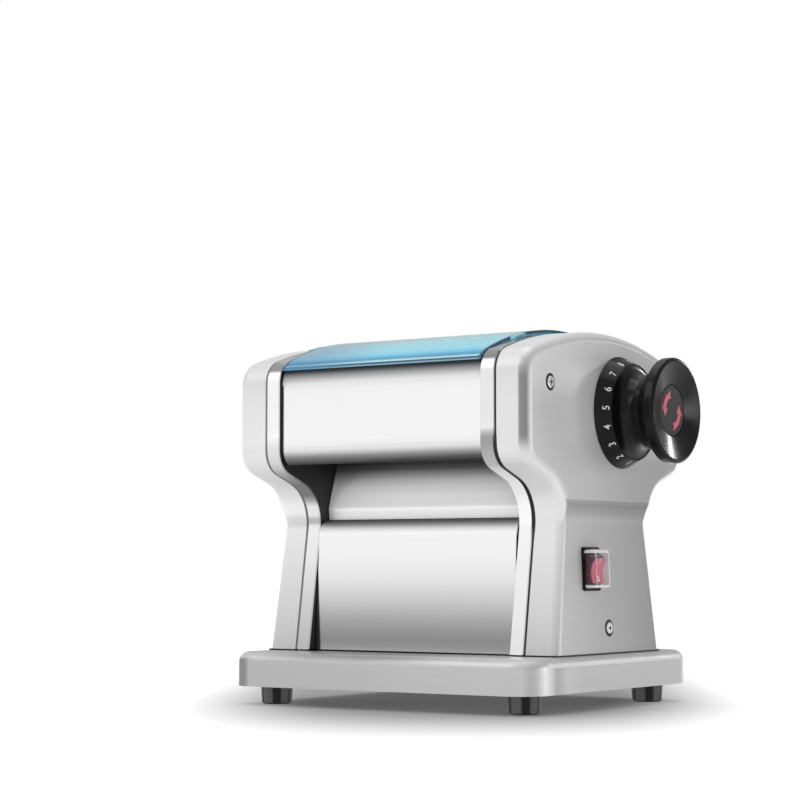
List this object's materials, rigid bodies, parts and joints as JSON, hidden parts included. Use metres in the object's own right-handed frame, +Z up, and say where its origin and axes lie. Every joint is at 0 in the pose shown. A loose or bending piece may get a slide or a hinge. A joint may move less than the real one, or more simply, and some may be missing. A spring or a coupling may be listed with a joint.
{
  "type": "electric pasta maker",
  "caption": "Countertop electric pasta maker with press rollers in front, noodle cutters behind, a thickness knob, a rocker switch and a clear blue hood.",
  "frame": {"origin": "on the surface it stands on, under the middle of its bounding box", "axes": "+X along the rollers towards the thickness knob, -Y the front where the dough sheet comes out, +Z up"},
  "size_m": [0.3222, 0.255, 0.2916],
  "materials": {
    "satin_base": "satin brushed",
    "satin_cover": "satin brushed",
    "polished_frame": "bright polished",
    "stainless_panel": "bright polished stainless sheet",
    "roller_steel": "ground steel",
    "gear_steel": "machined steel",
    "inner_steel": "zinc plated steel",
    "nickel": "nickel plated steel",
    "bronze": "machined bronze",
    "cast_housing": "cast",
    "motor_enamel": "black enamel",
    "rubber": "matte moulded rubber",
    "black_gloss": "polished moulding",
    "black_matte": "moulded",
    "cap_grey": "satin moulding",
    "red_rocker": "translucent red moulding",
    "clear_boot": "clear flexible moulding",
    "blue_hood": "transparent blue acrylic"
  },
  "bodies": {
    "root": {"base_tray": "satin_base", "base_plate": "inner_steel", "base_feet": "rubber", "foot_screws": "nickel", "frame_left": "polished_frame", "frame_right": "polished_frame", "cover_left": "satin_cover", "cover_right": "satin_cover", "cover_screws": "nickel", "cover_gaskets": "rubber", "body_gaskets": "rubber", "tie_rods": "inner_steel", "tie_rod_nuts": "nickel", "press_bushes": "bronze", "block_springs": "inner_steel", "press_scraper_front": "stainless_panel", "cutter_bushes": "bronze", "cutter_comb_front": "stainless_panel", "cutter_comb_rear": "stainless_panel", "gear_studs": "inner_steel", "index_ring": "black_gloss", "switch_housing": "black_matte", "switch_boot": "clear_boot", "head_panel_front": "stainless_panel", "head_panel_rear": "stainless_panel", "lower_panel_front": "stainless_panel", "lower_panel_rear": "stainless_panel", "dough_chute": "stainless_panel", "noodle_chute": "stainless_panel", "feed_deck": "stainless_panel", "hood_hinge_pins": "inner_steel", "gearbox": "cast_housing", "motor": "motor_enamel", "motor_cradle": "inner_steel", "cord_gland": "black_matte"},
    "motor_output": {"motor_shaft": "inner_steel", "motor_pinion": "gear_steel"},
    "large_gear_body": {"large_gear": "gear_steel"},
    "press_front": {"press_roller_front": "roller_steel", "press_gear_front": "gear_steel", "press_drive_gear": "gear_steel"},
    "carriage": {"bearing_blocks": "bronze", "press_scraper_rear": "stainless_panel"},
    "press_rear": {"press_roller_rear": "roller_steel", "press_gear_rear": "gear_steel"},
    "transfer_body": {"transfer_gear": "gear_steel"},
    "cutter_rear": {"cutter_roller_rear": "roller_steel", "cutter_gear_rear": "gear_steel", "cutter_drive_gear": "gear_steel"},
    "cutter_front": {"cutter_roller_front": "roller_steel", "cutter_gear_front": "gear_steel"},
    "adjuster": {"adjust_shaft": "inner_steel", "adjust_cams": "gear_steel", "knob_retainer": "nickel", "knob_spring": "inner_steel"},
    "knob": {"thickness_knob": "black_gloss", "knob_cap": "cap_grey"},
    "rocker": {"switch_rocker": "red_rocker"},
    "hood_body": {"hood": "blue_hood"}
  },
  "joints": [
    {"name": "motor_drive", "type": "hinge", "parent": "root", "child": "motor_output", "pos_m": [-0.12112, -0.005, 0.11799], "axis": [1, 0, 0], "continuous": true},
    {"name": "large_gear_turn", "type": "hinge", "parent": "root", "child": "large_gear_body", "pos_m": [-0.14113, -0.01733, 0.17609], "axis": [1, 0, 0], "continuous": true},
    {"name": "press_front_turn", "type": "hinge", "parent": "root", "child": "press_front", "pos_m": [-0.02113, -0.078, 0.227], "axis": [1, 0, 0], "continuous": true},
    {"name": "carriage_slide", "type": "slide", "parent": "root", "child": "carriage", "axis": [0, 1, 0], "range_m": [0, 0.0027]},
    {"name": "press_rear_turn", "type": "hinge", "parent": "carriage", "child": "press_rear", "pos_m": [-0.02113, -0.0315, 0.227], "axis": [1, 0, 0], "continuous": true},
    {"name": "transfer_gear_turn", "type": "hinge", "parent": "root", "child": "transfer_body", "pos_m": [-0.14113, 0.05415, 0.18881], "axis": [1, 0, 0], "continuous": true},
    {"name": "cutter_rear_turn", "type": "hinge", "parent": "root", "child": "cutter_rear", "pos_m": [-0.02113, 0.089, 0.227], "axis": [1, 0, 0], "continuous": true},
    {"name": "cutter_front_turn", "type": "hinge", "parent": "root", "child": "cutter_front", "pos_m": [-0.02113, 0.062, 0.227], "axis": [1, 0, 0], "continuous": true},
    {"name": "thickness_turn", "type": "hinge", "parent": "root", "child": "adjuster", "pos_m": [0.07888, 0.02, 0.227], "axis": [-1, 0, 0], "range_deg": [0, 172.8]},
    {"name": "knob_pull", "type": "slide", "parent": "adjuster", "child": "knob", "axis": [1, 0, 0], "range_m": [0, 0.004], "stiffness_N_per_m": 400, "springref_m": -0.004},
    {"name": "switch_rock", "type": "hinge", "parent": "root", "child": "rocker", "pos_m": [0.10629, -0.026, 0.10587], "axis": [0, -1, 0], "range_deg": [0, 16]},
    {"name": "hood_swing", "type": "hinge", "parent": "root", "child": "hood_body", "pos_m": [-0.02113, 0.095, 0.268], "axis": [-1, 0, 0], "range_deg": [0, 95]}
  ],
  "couplings": [
    {"joint": "motor_drive", "follows": "press_front_turn", "ratio": 2.5},
    {"joint": "large_gear_turn", "follows": "press_front_turn", "ratio": -0.71429},
    {"joint": "press_rear_turn", "follows": "press_front_turn", "ratio": -1},
    {"joint": "transfer_gear_turn", "follows": "press_front_turn", "ratio": 1.25},
    {"joint": "cutter_rear_turn", "follows": "press_front_turn", "ratio": -1.3043},
    {"joint": "cutter_front_turn", "follows": "press_front_turn", "ratio": 1.3043},
    {"joint": "thickness_turn", "follows": "carriage_slide", "rad_per_m": 1117}
  ]
}
